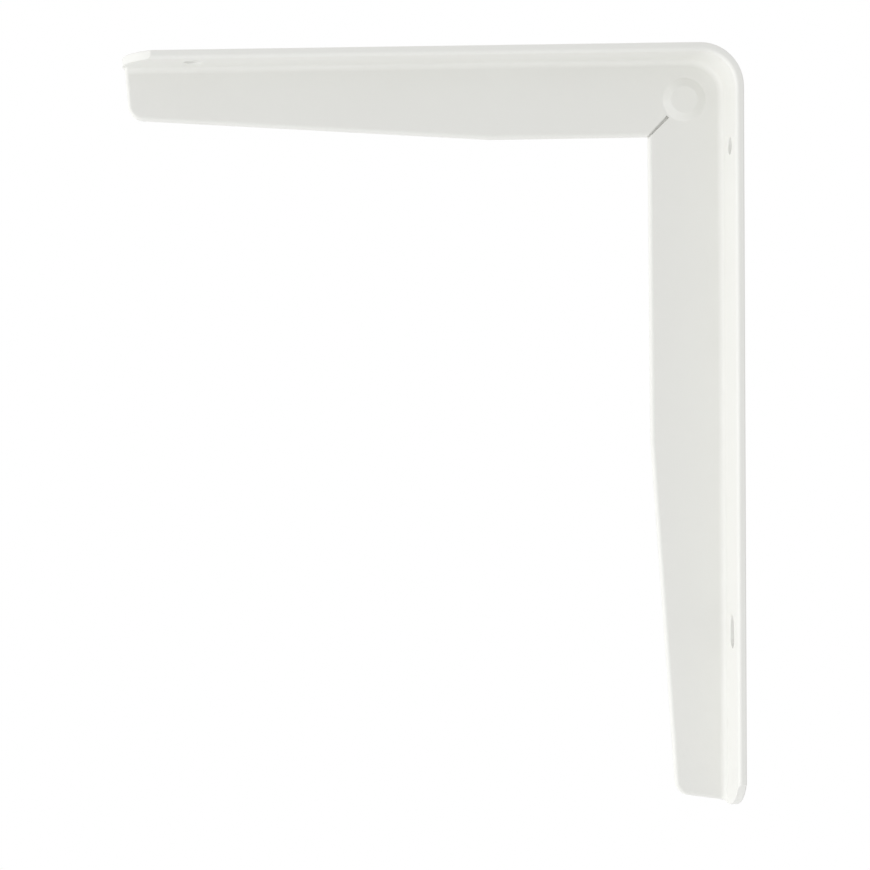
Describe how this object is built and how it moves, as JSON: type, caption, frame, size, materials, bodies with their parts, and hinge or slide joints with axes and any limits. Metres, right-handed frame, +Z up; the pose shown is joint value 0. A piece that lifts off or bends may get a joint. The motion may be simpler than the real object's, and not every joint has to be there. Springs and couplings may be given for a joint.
{
  "type": "shelf bracket",
  "caption": "L-shaped shelf bracket: a bent steel strip with a tapered central rib, a seam and boss at the corner, and screw holes in both arms.",
  "frame": {"origin": "where the wall's surface (X = 0) meets the shelf's underside (Z = 0), in the bracket's middle plane (Y = 0)", "axes": "+Z up, normal to the face that carries the shelf; +X towards the wall, normal to the face on the wall; the shelf arm runs along -X and the wall arm along -Z"},
  "size_m": [0.197, 0.04, 0.25],
  "materials": {
    "white_coat": "satin powder coat with rounded edges"
  },
  "bodies": {
    "root": {"shelf_bracket": "white_coat"}
  },
  "joints": []
}
